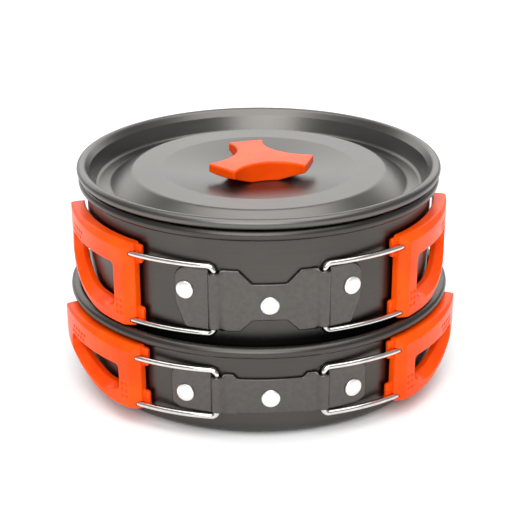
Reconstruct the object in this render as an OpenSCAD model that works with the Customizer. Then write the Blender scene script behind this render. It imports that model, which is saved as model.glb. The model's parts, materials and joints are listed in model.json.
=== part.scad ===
// Camping cook set: a pot with a lid, nested in a frying pan.
// Both vessels carry a riveted bracket at the front with two folding wire handles.
// Millimetres. +Z is up, the origin is on the common axis at the underside of the pan,
// and the brackets face -Y. Azimuths are measured from -Y towards +X.

/* [Pan] */
// Outside diameter of the rolled rim of the pan
pan_rim_d = 155; // [152:1:186]
// Height of the pan to the top of its rim
pan_h = 38.1; // [37:0.1:46]
// Wall thickness of the pan
pan_wall = 1.2; // [0.8:0.1:1.6]
// Outside radius of the corner between wall and base of the pan
pan_corner_r = 6; // [4:0.5:10]

/* [Pot] */
// Outside diameter of the rolled rim of the pot
pot_rim_d = 145; // [121:1:148]
// Height of the pot to the top of its rim
pot_h = 81.1; // [78:0.1:98]
// Wall thickness of the pot
pot_wall = 1.2; // [0.8:0.1:1.6]
// Outside radius of the corner between wall and base of the pot
pot_corner_r = 8; // [5:0.5:12]
// Radius of the rolled rims of pot and pan
rim_r = 2.2; // [1.8:0.1:2.6]

/* [Lid] */
// How far the edge of the lid stands out past the rim of the pot
lid_overhang = 0.5; // [0:0.1:2]
// Radius of the rolled edge of the lid
lid_rim_r = 2; // [1.6:0.1:2.4]
// Sheet thickness of the lid
lid_t = 0.8; // [0.6:0.1:1.2]
// Depth of the ring groove, below the top of the edge of the lid
lid_groove_depth = 9.5; // [7:0.5:12]
// How far the wall above the groove leans inwards, from top to bottom
lid_wall_lean = 2.3; // [2:0.1:3]
// Width of the floor of the ring groove
lid_groove_w = 5.8; // [4:0.2:8]
// Width of the sloping skirt between the groove and the flat ring
lid_skirt_w = 9.1; // [6:0.1:12]
// Depth of the flat ring, below the top of the edge of the lid
lid_ring_depth = 4; // [3:0.5:6]
// Width of the flat ring, down to the shallow dish in the middle of the lid
lid_ring_w = 11.5; // [8.5:0.1:21]
// Depth of the dish below the flat ring
lid_dish_depth = 3.2; // [1:0.1:4]

/* [Knob] */
// Distance of the flat tips of the knob from its axis
knob_tip_r = 21.1; // [18:0.1:25]
// Width of each tip
knob_tip_w = 15.5; // [12:0.5:18]
// Distance of the hollow sides from the axis
knob_waist_r = 9.8; // [9:0.1:12]
// Height of the knob above the dish
knob_h = 8; // [7:0.1:12]
// Thickness of the three-armed top of the knob
knob_top_t = 3.4; // [2:0.1:4]
// Radius of the round foot of the knob, which carries the top
knob_foot_r = 13.5; // [11:0.5:16]
// Height of the upright edge of the foot, below the sloping undersides of the arms
knob_foot_h = 0.8; // [0.4:0.1:1.5]
// Width of the level ring of the dish round the foot
knob_seat_w = 5; // [3:0.5:8]
// Azimuth of the first arm
knob_turn = 72; // [0:1:120]

/* [Lid screw] */
// Radius of the screw of the knob
screw_r = 2; // [1.5:0.5:2.5]
// Radius of its head
screw_head_r = 3.8; // [3.2:0.1:5]
// Height of its head
screw_head_h = 2.2; // [1.5:0.1:3]
// Width of the slots of the cross recess in its head
slot_w = 0.8; // [0.6:0.1:1.2]
// Length of those slots
slot_l = 4; // [3:0.5:5]
// Depth of those slots
slot_depth = 1; // [0.6:0.1:1.4]
// Outside radius of the threaded insert in the knob
insert_r = 3.4; // [3:0.1:4]
// Height of the threaded insert
insert_h = 4.4; // [3:0.1:5]
// Outside radius of the washer under the lid
washer_r = 6; // [5:0.5:8]
// Thickness of the washer
washer_t = 0.8; // [0.5:0.1:1.2]

/* [Brackets] */
// Sheet thickness of the brackets
plate_t = 1.2; // [0.8:0.1:1.6]
// Azimuth of the outer edge of the tabs of the pot bracket
pot_tab_a = 29.2; // [27.8:0.1:31]
// Radius of the upper outer corner of those tabs
pot_tab_r = 5; // [3:0.5:6]
// Height of the slanting part of their outer edge
pot_tab_slant_z = 9.5; // [6:0.5:12]
// Width of that slanting part
pot_tab_slant_x = 3.4; // [2:0.1:4]
// Half width of the waist of the pot bracket
pot_waist_x = 6.2; // [5:0.1:10]
// Depth of its waist below the top edge
pot_waist_up = 5.2; // [3:0.1:8.2]
// Depth of its waist above the lower edge
pot_waist_low = 4.7; // [2:0.1:6.2]
// Azimuth of the outer edge of the tabs of the pan bracket
pan_tab_a = 29; // [27.5:0.1:31]
// Radius of the upper outer corner of those tabs
pan_tab_r = 3; // [2:0.5:4]
// Height of the slanting part of their outer edge
pan_tab_slant_z = 2; // [1:0.5:4]
// Width of that slanting part
pan_tab_slant_x = 3; // [2:0.1:4]
// Half width of the waist of the pan bracket
pan_waist_x = 12; // [8:0.1:14]
// Depth of its waist below the top edge
pan_waist_up = 1.8; // [0.8:0.1:4.8]
// Depth of its waist above the lower edge
pan_waist_low = 0.7; // [0.3:0.1:2.8]
// Radius of the corners of their waists
plate_waist_r = 1; // [0.5:0.1:1.5]
// Radius of the lower corners of the tabs
plate_low_r = 1.5; // [1:0.1:2]

/* [Rivets] */
// Radius of the outer heads
rivet_head_r = 3.6; // [3:0.1:4.2]
// Height of the outer heads
rivet_head_h = 1.1; // [0.8:0.1:1.5]
// Radius of the shanks
rivet_r = 1.8; // [1.5:0.1:2.2]
// Radius of the inner heads
rivet_inner_r = 3.2; // [2.8:0.1:4]
// Height of the inner heads
rivet_inner_h = 1; // [0.6:0.1:1.4]
// Azimuth of the side rivets of the pot
pot_rivet_a = 25.8; // [25:0.1:26.5]
// How far the middle rivet of the pot sits below the middle of the waist of the bracket
pot_rivet_drop = 1.1; // [-1.2:0.1:3.8]
// How far the side rivets of the pot sit below the upper wire legs
pot_side_rivet_drop = 10.6; // [7.6:0.1:14.6]
// Azimuth of the side rivets of the pan
pan_rivet_a = 24.5; // [23.5:0.1:25]
// Height of the rivets of the pan above the lower wire legs
pan_rivet_up = 8.5; // [6.2:0.1:11.2]

/* [Wire handles] */
// Diameter of the handle wire
wire_d = 2.2; // [1.8:0.1:2.4]
// Bend radius at the middle of the wire
bend_r = 2.4; // [2:0.1:3]
// Azimuth where the legs of the pot handles leave their knuckles
pot_leg_a = 18.6; // [18:0.1:19]
// How far the upper leg of the pot handles sits below the top of their grips
pot_leg_drop = 4.4; // [3:0.1:6]
// Height of the lower leg of the pot handles above the underside of their grips
pot_leg_up = 2; // [2:0.1:2.5]
// Azimuth where the legs of the pan handles leave their knuckles
pan_leg_a = 17; // [16.5:0.1:17.5]
// Height from the lower to the upper leg of the pan handles
pan_leg_h = 19.4; // [18.2:0.1:20.2]
// Height of the lower leg of the pan handles above the underside of their grips
pan_leg_up = 1.9; // [1.9:0.1:2.6]
// How much larger the bow radius of the legs is than the radius of the wall
leg_bow = 8; // [7:0.5:9]
// Length of each stub inside its knuckle
stub_l = 8; // [5:0.5:9]

/* [Grips] */
// Radial thickness of the grips
grip_t = 5.6; // [5:0.1:6.5]
// Azimuth of the inner end of the pot grips
pot_grip_a = 42.3; // [41:0.1:45]
// Length of the pot grips around the pot
pot_grip_l = 57; // [54:0.5:60]
// How far the top of the pot grips sits below the underside of the rim of the pot
pot_grip_drop = 6; // [3:0.5:7]
// Length of the level part of the underside of the pot grips
pot_grip_flat = 28; // [24:1:32]
// How far the underside of the pot grips rises to their far end
pot_grip_rise = 14.5; // [12:0.5:16]
// Azimuth of the inner end of the pan grips
pan_grip_a = 38; // [37:0.1:41]
// Length of the pan grips around the pan
pan_grip_l = 55; // [52:0.5:58]
// Height of the pan grips
pan_grip_h = 26.3; // [25:0.1:27]
// Length of the level part of the underside of the pan grips
pan_grip_flat = 18; // [16:1:24]
// How far the underside of the pan grips rises to their far end
pan_grip_rise = 12; // [10:0.5:13]
// Width of the upright bar next to the wire
grip_bar_w = 10; // [9:0.5:11]
// Width of the bar at the far end
grip_end_w = 10; // [8:0.5:12]
// Height of the top bar
grip_top_w = 9.6; // [9:0.1:11]
// Height of the lower bar
grip_low_w = 6.7; // [6:0.1:7.5]
// How far the ears reach past the inner end, behind the wire
ear_l = 2.6; // [1:0.1:3]
// Height of each ear
ear_h = 7.4; // [6:0.1:8]
// How far the upper ear sits below the top of the grip
ear_drop = 0.8; // [0.4:0.1:1.5]
// Bend radius of the underside of the grips, where it starts to rise
grip_under_r = 60; // [40:1:70]
// Radius of the lower corner at their far end
grip_far_r = 8; // [6:0.5:10]
// Radius of the upper corner at their far end
grip_top_r = 3; // [2:0.5:4]
// Radius of the corners of the finger window
window_r = 1.4; // [1:0.1:2]
// Bend radius of the lower edge of the window
window_under_r = 30; // [20:1:34]

/* [Clearances] */
// Gap between sheets that lie on each other
lap = 0.02; // [0.01:0.01:0.05]
// Radial running clearance of the wire in its knuckle
wire_gap = 0.05; // [0.02:0.01:0.1]
// Gap under the pot where it stands in the pan
seat_gap = 0.1; // [0.05:0.05:0.3]
// Gap between the edge of the lid and the rim of the pot
lid_gap = 0.3; // [0.2:0.05:0.5]
// Gap between the wall and the back of a grip
grip_gap = 1; // [0.7:0.1:1.5]
// Gap between a wire leg and the wall or the bracket edge next to it
leg_gap = 0.3; // [0.3:0.05:0.4]
// Gap between the pan grips and the underside of the rim of the pan
under_rim_gap = 0.5; // [0.3:0.1:1.7]
// Gap between the pot grips and the top of the rim of the pan
over_rim_gap = 0.4; // [0.3:0.1:0.9]
// Gap between a wire leg and the ears behind it
ear_gap = 0.1; // [0.1:0.05:0.3]
// Gap between the lid and the inside of the pot wall
lid_wall_gap = 0.1; // [0.1:0.1:0.4]

/* [Hidden] */
$fn = 96;

metal = [0.41, 0.40, 0.38];
orange = [1.0, 0.36, 0.10];
steel = [0.82, 0.82, 0.80];
brass = [0.80, 0.65, 0.30];

wire_r = wire_d / 2;
run_step = 0.01;
run_lap = 0.1;
pan_in_r = pan_rim_d / 2 - 2 * rim_r;
pan_out_r = pan_in_r + pan_wall;
pot_in_r = pot_rim_d / 2 - 2 * rim_r;
pot_out_r = pot_in_r + pot_wall;
pot_z = pan_wall + seat_gap;
pot_top_z = pot_z + pot_h;

// The pot grips reach from the rim of the pan up towards that of the pot, and the pan grips
// hang under the rim of the pan
pot_grip_z0 = pan_h + over_rim_gap;
pot_grip_z1 = pot_top_z - 2 * rim_r - pot_grip_drop;
pot_leg_z0 = pot_grip_z0 + pot_leg_up;
pot_leg_z1 = pot_grip_z1 - pot_leg_drop;
pan_grip_z1 = pan_h - 2 * rim_r - under_rim_gap;
pan_grip_z0 = pan_grip_z1 - pan_grip_h;
pan_leg_z0 = pan_grip_z0 + pan_leg_up;
pan_leg_z1 = pan_leg_z0 + pan_leg_h;

// Azimuth and height of the rivets
pot_side_z = pot_leg_z1 - pot_side_rivet_drop;
pot_middle_z = (pot_leg_z0 + pot_leg_z1 + pot_waist_low - pot_waist_up) / 2 - pot_rivet_drop;
pot_rivets = [[-pot_rivet_a, pot_side_z], [0, pot_middle_z], [pot_rivet_a, pot_side_z]];
pan_rivets = [for (a = [-pan_rivet_a, 0, pan_rivet_a]) [a, pan_leg_z0 + pan_rivet_up]];

// Points in the (radius, height) half plane of the lid, on its upper surface
lid_r = pot_rim_d / 2 + lid_overhang;
lid_z = pot_top_z + lid_gap + 2 * lid_rim_r;
lid_wall_r1 = pot_in_r - lid_wall_gap;
lid_wall_r0 = lid_wall_r1 - lid_wall_lean;
lid_groove_z = lid_z - lid_groove_depth;
lid_ring_z = lid_z - lid_ring_depth;
lid_dish_z = lid_ring_z - lid_dish_depth;
lid_skirt_r0 = lid_wall_r0 - lid_groove_w;
lid_skirt_r1 = lid_skirt_r0 - lid_skirt_w;
lid_dish_r = lid_skirt_r1 - lid_ring_w;
knob_foot_z = lid_dish_z + lap;
knob_top_z = lid_dish_z + knob_h;

// What shapes the handles, as one list for each vessel: wall radius, leg azimuth, lower and
// upper leg height, then of the grip its azimuth, length, underside, top, level length and rise
POT = [pot_out_r, pot_leg_a, pot_leg_z0, pot_leg_z1,
    pot_grip_a, pot_grip_l, pot_grip_z0, pot_grip_z1, pot_grip_flat, pot_grip_rise];
PAN = [pan_out_r, pan_leg_a, pan_leg_z0, pan_leg_z1,
    pan_grip_a, pan_grip_l, pan_grip_z0, pan_grip_z1, pan_grip_flat, pan_grip_rise];

function wall_r(v) = v[0];
function grip_in_r(v) = wall_r(v) + grip_gap;
function grip_out_r(v) = grip_in_r(v) + grip_t;
function grip_mid_r(v) = grip_in_r(v) + grip_t / 2;

// A point at radius r and azimuth a, seen from above
function polar(r, a) = [r * sin(a), -r * cos(a)];

function unit(v) = v / norm(v);
function left_normal(v) = [-v.y, v.x];
function angle_of(v) = atan2(v.y, v.x);
function wrap(a) = a > 180 ? a - 360 : a < -180 ? a + 360 : a;
function reverse(list) = [for (i = [len(list) - 1 : -1 : 0]) list[i]];

// Each leg is an arc seen from above, between a point beside its knuckle and the grip.
// It bows out a little less than the wall, so it leaves the wall towards the grip.
function leg_bow_r(v) = wall_r(v) + leg_bow;
function leg_start(v) = polar(wall_r(v) + wire_r + leg_gap, v[1]);
function leg_end(v) = polar(grip_mid_r(v), v[4]);
function leg_centre(v) =
    let (p = leg_start(v), q = leg_end(v), half = norm(q - p) / 2, r = leg_bow_r(v))
    (p + q) / 2 + left_normal(unit(q - p)) * sqrt(r * r - half * half);
function leg_a0(v) = angle_of(leg_start(v) - leg_centre(v));
// The leg runs on into the grip by a bend radius, before it turns upright
function leg_a1(v) =
    angle_of(leg_end(v) - leg_centre(v)) + (grip_bar_w / 2 - bend_r) / leg_bow_r(v) * 180 / PI;
// The hinge axis, one bend radius back from the start of the leg
function hinge_xy(v) = leg_start(v) - bend_r * [-sin(leg_a0(v)), cos(leg_a0(v))];
function plate_z0(v) = v[2] + wire_r + leg_gap;
function plate_z1(v) = v[3] - wire_r - leg_gap;

// The points that round one corner of an outline; a radius of 0 leaves it sharp
function corner(p0, p1, p2, r, steps) =
    r == 0 ? [p1] :
    let (a = unit(p0 - p1), b = unit(p2 - p1), half = acos(a * b) / 2)
    let (c = p1 + unit(a + b) * r / sin(half))
    let (start = p1 + a * r / tan(half), end = p1 + b * r / tan(half))
    let (from = angle_of(start - c), sweep = wrap(angle_of(end - c) - from))
    [for (i = [0 : steps]) c + r * [cos(from + sweep * i / steps), sin(from + sweep * i / steps)]];
function xy(p) = [p[0], p[1]];
// An outline or an open path of [x, y, corner radius] with its corners rounded
function rounded(pts, steps = 6) =
    let (n = len(pts))
    [for (i = [0 : n - 1])
        each corner(xy(pts[(i + n - 1) % n]), xy(pts[i]), xy(pts[(i + 1) % n]), pts[i][2], steps)];
// A sheet profile: an open path and its copy, t to the right of it
function path_dir(path, i) =
    unit((i == 0 ? path[1] - path[0] : unit(path[i] - path[i - 1]))
        + (i == len(path) - 1 ? path[i] - path[i - 1] : unit(path[min(i + 1, len(path) - 1)] - path[i])));
function sheet(path, t) =
    concat(path, reverse([for (i = [0 : len(path) - 1]) path[i] - t * left_normal(path_dir(path, i))]));

// A vessel wall with its base, from the outside, turned from its profile
module vessel(out_r, wall, corner_r, z0, h) {
    in_r = out_r - wall;
    rim_z = z0 + h - rim_r;
    inside = rounded([[0, z0 + wall, 0], [in_r, z0 + wall, corner_r - wall], [in_r, rim_z, 0]], 10);
    outside = rounded([[0, z0, 0], [out_r, z0, corner_r], [out_r, rim_z, 0]], 10);
    rotate_extrude()
        union() {
            polygon(concat(outside, reverse(inside)));
            translate([in_r + rim_r, rim_z]) circle(r = rim_r);
        }
}

// Places its children on the wall at azimuth a and height z, with their +Z pointing outwards
module on_wall(a, z) {
    translate([0, 0, z]) rotate([0, 0, a]) rotate([90, 0, 0]) children();
}

module rivet_hole(r, a, z) {
    on_wall(a, z) translate([0, 0, r - 5]) cylinder(r = rivet_r + lap, h = 12);
}

module rivet(out_r, wall, a, z) {
    head_z = out_r + plate_t + 2 * lap;
    in_r = out_r - wall;
    inner_z = sqrt(in_r * in_r - rivet_inner_r * rivet_inner_r) - lap;
    dome = 0.3 * rivet_head_h;
    color(steel)
    on_wall(a, z) {
        translate([0, 0, head_z]) cylinder(r = rivet_head_r, h = rivet_head_h - dome);
        translate([0, 0, head_z + rivet_head_h - dome])
            cylinder(r1 = rivet_head_r, r2 = rivet_head_r - 3 * dome, h = dome);
        translate([0, 0, inner_z - rivet_inner_h]) cylinder(r = rivet_inner_r, h = rivet_inner_h);
        translate([0, 0, inner_z - rivet_inner_h / 2])
            cylinder(r = rivet_r, h = head_z - inner_z + rivet_inner_h);
    }
}

// The outline of half a bracket, as [x, z, corner radius], from its lower waist corner
// round the tab to its upper waist corner. The tab is [azimuth, corner radius, slant z, slant x],
// the waist [half width, depth at the top, depth below].
function half_plate(v, tab, waist) =
    let (z0 = plate_z0(v), z1 = plate_z1(v), x = (wall_r(v) + lap + plate_t) * sin(tab[0]))
    [[waist[0], z0 + waist[2], plate_waist_r], [waist[0] + waist[2], z0, plate_waist_r],
    [x - tab[3], z0, plate_low_r], [x, z0 + tab[2], plate_low_r],
    [x, z1, tab[1]], [waist[0] + waist[1], z1, plate_waist_r], [waist[0], z1 - waist[1], plate_waist_r]];
function mirrored(half) = concat(half, reverse([for (p = half) [-p[0], p[1], p[2]]]));

// A bracket: a sheet on the wall, with two vertical knuckles for the wires
module bracket(v, half, rivets) {
    k = hinge_xy(v);
    z0 = plate_z0(v);
    z1 = plate_z1(v);
    knuckle_z0 = v[2] + bend_r + lap;
    knuckle_z1 = v[3] - bend_r - lap;
    bore_r = wire_r + wire_gap;
    relief_r = wire_r + bend_r / 2;
    in_r = wall_r(v) + lap;
    color(metal)
    difference() {
        union() {
            intersection() {
                translate([0, 0, z0 - 1]) cylinder(r = in_r + plate_t, h = z1 - z0 + 2);
                rotate([90, 0, 0]) linear_extrude(height = in_r + plate_t + 1)
                    polygon(rounded(mirrored(half)));
            }
            for (side = [-1, 1])
                translate([side * k.x, k.y, knuckle_z0])
                    cylinder(r = bore_r + plate_t, h = knuckle_z1 - knuckle_z0);
        }
        translate([0, 0, z0 - 2]) cylinder(r = in_r, h = z1 - z0 + 4);
        for (side = [-1, 1]) translate([side * k.x, k.y, 0]) {
            translate([0, 0, z0 - 2]) cylinder(r = bore_r, h = z1 - z0 + 4);
            translate([0, 0, z0 - 2]) rotate([0, 0, side * atan2(k.x, -k.y)])
                translate([-bore_r, 0, 0]) cube([2 * bore_r, 2 * bore_r, z1 - z0 + 4]);
            translate([0, 0, z0 - 2]) cylinder(r = relief_r, h = knuckle_z0 - z0 + 2);
            translate([0, 0, knuckle_z1]) cylinder(r = relief_r, h = z1 - knuckle_z1 + 2);
        }
        for (p = rivets) rivet_hole(wall_r(v), p[0], p[1]);
    }
}

// A quarter bend of the wire, in the vertical plane at angle dir, starting at angle from
module wire_bend(p, z, dir, from, r) {
    translate([p.x, p.y, z]) rotate([0, 0, dir]) rotate([90, 0, 0]) rotate([0, 0, from])
        rotate_extrude(angle = 90) translate([bend_r, 0]) circle(r = r);
}

// A vertical run of the wire at point p
module wire_upright(p, z0, z1, r) {
    translate([p.x, p.y, z0]) cylinder(r = r, h = z1 - z0);
}

// The bent wire of the right-hand handle, as a solid of radius r. The runs between the
// bends are thinner by run_step and end run_lap inside the bends.
module wire_shape(v, r) {
    c = leg_centre(v);
    a0 = leg_a0(v);
    a1 = leg_a1(v);
    start = leg_start(v);
    end = c + leg_bow_r(v) * [cos(a1), sin(a1)];
    far = end + bend_r * [-sin(a1), cos(a1)];
    lap_a = run_lap / leg_bow_r(v) * 180 / PI;
    low = v[2] + bend_r;
    high = v[3] - bend_r;
    run_r = r - run_step;
    for (z = [v[2], v[3]])
        translate([c.x, c.y, z]) rotate([0, 0, a0 - lap_a])
            rotate_extrude(angle = a1 - a0 + 2 * lap_a) translate([leg_bow_r(v), 0]) circle(r = run_r);
    wire_bend(start, low, a0 + 90, 180, r);
    wire_bend(start, high, a0 + 90, 90, r);
    wire_bend(end, low, a1 + 90, 270, r);
    wire_bend(end, high, a1 + 90, 0, r);
    wire_upright(far, low - run_lap, high + run_lap, run_r);
    wire_upright(hinge_xy(v), low - run_lap, low + stub_l, run_r);
    wire_upright(hinge_xy(v), high - stub_l, high + run_lap, run_r);
}

// A closed wall of constant thickness around the axis, from azimuth a over length l
module wall_sector(r_in, r_out, a, l, z0, z1) {
    rotate([0, 0, a - 90])
        rotate_extrude(angle = l / r_out * 180 / PI)
            translate([r_in, z0]) square([r_out - r_in, z1 - z0]);
}

// Extrudes an outline through the grip, along the direction at the middle of the grip.
// Its x runs along the grip from the inner end, its y is the height above the underside.
module through_grip(v) {
    mid_a = v[4] + v[5] / 2 / grip_out_r(v) * 180 / PI;
    rotate([0, 0, mid_a]) translate([-v[5] / 2, -grip_out_r(v) / 2, v[6]])
        rotate([90, 0, 0]) linear_extrude(height = grip_out_r(v)) children();
}

// The grip of the right-hand handle: a D-shaped frame around a finger window
module grip_shape(v) {
    l = v[5];
    h = v[7] - v[6];
    flat_l = v[8];
    rise = v[9];
    window_l = l - grip_end_w;
    window_h = h - grip_top_w;
    far_z = rise * (window_l - flat_l) / (l - flat_l) + 0.9 * grip_low_w;
    window_z = min(far_z, window_h - 4);
    ear_a = v[4] - ear_l / grip_out_r(v) * 180 / PI;
    // The outline starts past the inner end, which the sector cuts
    past = 3;
    // The window starts to rise a little further along than the underside
    window_step = 4;
    difference() {
        union() {
            intersection() {
                wall_sector(grip_in_r(v), grip_out_r(v), v[4], l, v[6], v[7]);
                through_grip(v)
                    polygon(rounded([[-past, 0, 0], [flat_l, 0, grip_under_r], [l, rise, grip_far_r],
                        [l, h, grip_top_r], [-past, h, 0]], 10));
            }
            for (z = [v[6], v[7] - ear_h - ear_drop])
                wall_sector(grip_in_r(v), grip_mid_r(v) - wire_r - ear_gap, ear_a, ear_l + 1, z, z + ear_h);
        }
        through_grip(v)
            polygon(rounded([[grip_bar_w, grip_low_w, window_r],
                [flat_l + window_step, grip_low_w, window_under_r], [window_l, window_z, window_r],
                [window_l, window_h, window_r], [grip_bar_w, window_h, window_r]], 8));
        wire_shape(v, wire_r + lap);
    }
}

module sided(side) {
    if (side < 0) mirror([1, 0, 0]) children();
    else children();
}

module handle_wire(v, side) {
    color(steel) sided(side) wire_shape(v, wire_r);
}

module handle_grip(v, side) {
    color(orange) sided(side) grip_shape(v);
}

module pan_shell() {
    color(metal)
    difference() {
        vessel(pan_out_r, pan_wall, pan_corner_r, 0, pan_h);
        for (p = pan_rivets) rivet_hole(pan_out_r, p[0], p[1]);
    }
}

module pot_shell() {
    color(metal)
    difference() {
        vessel(pot_out_r, pot_wall, pot_corner_r, pot_z, pot_h);
        for (p = pot_rivets) rivet_hole(pot_out_r, p[0], p[1]);
    }
}

module pot_rivet(i) {
    rivet(pot_out_r, pot_wall, pot_rivets[i][0], pot_rivets[i][1]);
}

module pan_rivet(i) {
    rivet(pan_out_r, pan_wall, pan_rivets[i][0], pan_rivets[i][1]);
}

module pot_bracket() {
    bracket(POT, half_plate(POT, [pot_tab_a, pot_tab_r, pot_tab_slant_z, pot_tab_slant_x],
        [pot_waist_x, pot_waist_up, pot_waist_low]), pot_rivets);
}

module pan_bracket() {
    bracket(PAN, half_plate(PAN, [pan_tab_a, pan_tab_r, pan_tab_slant_z, pan_tab_slant_x],
        [pan_waist_x, pan_waist_up, pan_waist_low]), pan_rivets);
}

module lid_shell() {
    top = rounded([
        [lid_r - 2 * lid_rim_r + 0.5, lid_z - 0.4 * lid_rim_r, 0],
        [lid_wall_r1, lid_z - 1.25 * lid_rim_r, 2],
        [lid_wall_r0, lid_groove_z, 1.6], [lid_skirt_r0, lid_groove_z, 2],
        [lid_skirt_r1, lid_ring_z, 3], [lid_dish_r, lid_ring_z, 6],
        [knob_foot_r + knob_seat_w, lid_dish_z, 30], [screw_r + lap, lid_dish_z, 0]], 6);
    color(metal) {
        rotate_extrude() polygon(sheet(reverse(top), lid_t));
        rotate_extrude() translate([lid_r - lid_rim_r, lid_z - lid_rim_r]) circle(r = lid_rim_r);
    }
}

// Three flat tips with a hollow arc from tip to tip
module knob_outline() {
    tip_half = knob_tip_w / 2;
    corner_r = norm([knob_tip_r, tip_half]);
    corner_a = atan2(tip_half, knob_tip_r);
    chord_d = corner_r * cos(60 - corner_a);
    chord_half = corner_r * sin(60 - corner_a);
    sag = chord_d - knob_waist_r;
    side_r = (chord_half * chord_half + sag * sag) / (2 * sag);
    // The plain outline reaches past the tips on both sides, and the arcs trim it
    wide = tip_half + 2;
    difference() {
        polygon([for (a = [0 : 120 : 240], s = [-1, 1])
            [knob_tip_r * cos(a) - s * wide * sin(a), knob_tip_r * sin(a) + s * wide * cos(a)]]);
        for (a = [60 : 120 : 300])
            rotate(a) translate([knob_waist_r + side_r, 0]) circle(r = side_r);
    }
}

// The three-armed outline, thinned from below by a cone so that the arms rise from the foot
module lid_knob() {
    z0 = knob_foot_z;
    arm_z = knob_top_z - knob_top_t;
    cone_r = norm([knob_tip_r, knob_tip_w / 2]) + 1;
    color(orange)
    difference() {
        intersection() {
            translate([0, 0, z0]) rotate([0, 0, knob_turn - 90])
                linear_extrude(height = knob_top_z - z0) knob_outline();
            rotate_extrude()
                polygon([[0, z0 - 1], [knob_foot_r, z0 - 1], [knob_foot_r, z0 + knob_foot_h],
                    [cone_r, arm_z], [cone_r, knob_top_z + 1], [0, knob_top_z + 1]]);
        }
        translate([0, 0, z0 - 2]) cylinder(r = insert_r + lap, h = insert_h + 2);
        translate([0, 0, z0 - 2]) cylinder(r = screw_r + lap, h = insert_h + 3);
    }
}

module knob_insert() {
    color(brass)
    translate([0, 0, knob_foot_z])
        difference() {
            cylinder(r = insert_r, h = insert_h);
            translate([0, 0, -1]) cylinder(r = screw_r + lap, h = insert_h + 2);
        }
}

module knob_washer() {
    color(steel)
    translate([0, 0, lid_dish_z - lid_t - lap - washer_t])
        difference() {
            cylinder(r = washer_r, h = washer_t);
            translate([0, 0, -1]) cylinder(r = screw_r + lap, h = washer_t + 2);
        }
}

module knob_screw() {
    head_z = lid_dish_z - lid_t - 2 * lap - washer_t - screw_head_h;
    color(steel)
    translate([0, 0, head_z])
        difference() {
            union() {
                cylinder(r = screw_head_r, h = screw_head_h);
                cylinder(r = screw_r, h = screw_head_h + washer_t + lid_t + insert_h);
            }
            for (a = [0, 90])
                rotate([0, 0, a])
                    translate([-slot_l / 2, -slot_w / 2, -1])
                        cube([slot_l, slot_w, slot_depth + 1]);
        }
}

lid_shell();
lid_knob();
knob_insert();
knob_screw();
knob_washer();
pot_shell();
pot_bracket();
pot_rivet(0);  // pot_rivet_left
pot_rivet(1);  // pot_rivet_centre
pot_rivet(2);  // pot_rivet_right
handle_wire(POT, -1);  // pot_left_wire
handle_grip(POT, -1);  // pot_left_grip
handle_wire(POT, 1);  // pot_right_wire
handle_grip(POT, 1);  // pot_right_grip
pan_shell();
pan_bracket();
pan_rivet(0);  // pan_rivet_left
pan_rivet(1);  // pan_rivet_centre
pan_rivet(2);  // pan_rivet_right
handle_wire(PAN, -1);  // pan_left_wire
handle_grip(PAN, -1);  // pan_left_grip
handle_wire(PAN, 1);  // pan_right_wire
handle_grip(PAN, 1);  // pan_right_grip
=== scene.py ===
"""Camping cook set: a pot with a lid, nested in a frying pan, with folding wire handles.

Lengths here are millimetres until new_piece() turns them into the frame's metres. Azimuths
are radians from the front (-Y) towards +X. Handles are built on the right and mirrored.
"""
import json
import math

import bmesh
import bpy
import numpy as np
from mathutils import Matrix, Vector

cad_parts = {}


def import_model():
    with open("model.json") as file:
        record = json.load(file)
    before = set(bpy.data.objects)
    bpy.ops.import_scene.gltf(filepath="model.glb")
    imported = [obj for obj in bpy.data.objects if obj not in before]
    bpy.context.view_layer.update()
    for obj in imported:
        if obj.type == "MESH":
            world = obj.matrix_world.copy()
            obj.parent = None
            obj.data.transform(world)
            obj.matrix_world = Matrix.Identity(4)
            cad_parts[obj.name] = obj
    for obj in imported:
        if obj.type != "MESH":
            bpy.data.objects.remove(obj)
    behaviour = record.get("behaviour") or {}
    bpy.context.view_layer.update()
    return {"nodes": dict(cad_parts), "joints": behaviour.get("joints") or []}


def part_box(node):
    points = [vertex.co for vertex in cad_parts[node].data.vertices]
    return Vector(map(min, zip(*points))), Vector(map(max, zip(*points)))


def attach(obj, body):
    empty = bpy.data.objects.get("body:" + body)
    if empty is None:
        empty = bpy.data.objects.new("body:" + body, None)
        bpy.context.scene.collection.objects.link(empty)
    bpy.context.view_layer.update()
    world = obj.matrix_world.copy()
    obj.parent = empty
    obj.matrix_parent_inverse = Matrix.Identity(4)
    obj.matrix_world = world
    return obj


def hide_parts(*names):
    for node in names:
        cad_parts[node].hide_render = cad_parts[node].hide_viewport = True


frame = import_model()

MM = 0.001
NODES = frame["nodes"]
JOINTS = {joint["name"]: joint for joint in frame["joints"]}

# Sizes of the sheet and wire work, the same for both vessels
SHEET = 1.2
RIM_R = 2.2
WIRE_R = 1.1
BEND_R = 2.4
LAP = 0.02
WIRE_GAP = 0.05
LEG_GAP = 0.3
EAR_L = 2.6
# How much larger the bow radius of the wire legs is than the wall, and half the width of the grip
# bar that the far end of the wire stands in
LEG_BOW = 8.0
BAR_HALF = 5.0
# Lid: edge radius, sheet, gap to the pot, lean of its wall, widths of groove, skirt and flat ring,
# depths of groove and ring
LID_ROLL = 2.0
LID_SHEET = 0.8
LID_GAP = 0.1
LID_LEAN = 2.3
LID_GROOVE_W = 5.8
LID_SKIRT_W = 9.1
LID_GROOVE_DEPTH = 9.5
LID_RING_DEPTH = 4.0
LID_DISH_R = 39.3
LID_SEAT_R = 18.5
# Where the upper side of the lid meets its edge, as an angle round the edge
LID_EDGE_A = 2.6
# Radius and depth of the dimples of the grips, and how far from one its field is worked out
DIMPLE_R = 0.75
DIMPLE_T = 0.7
DIMPLE_REACH = 3 * DIMPLE_R

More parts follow.
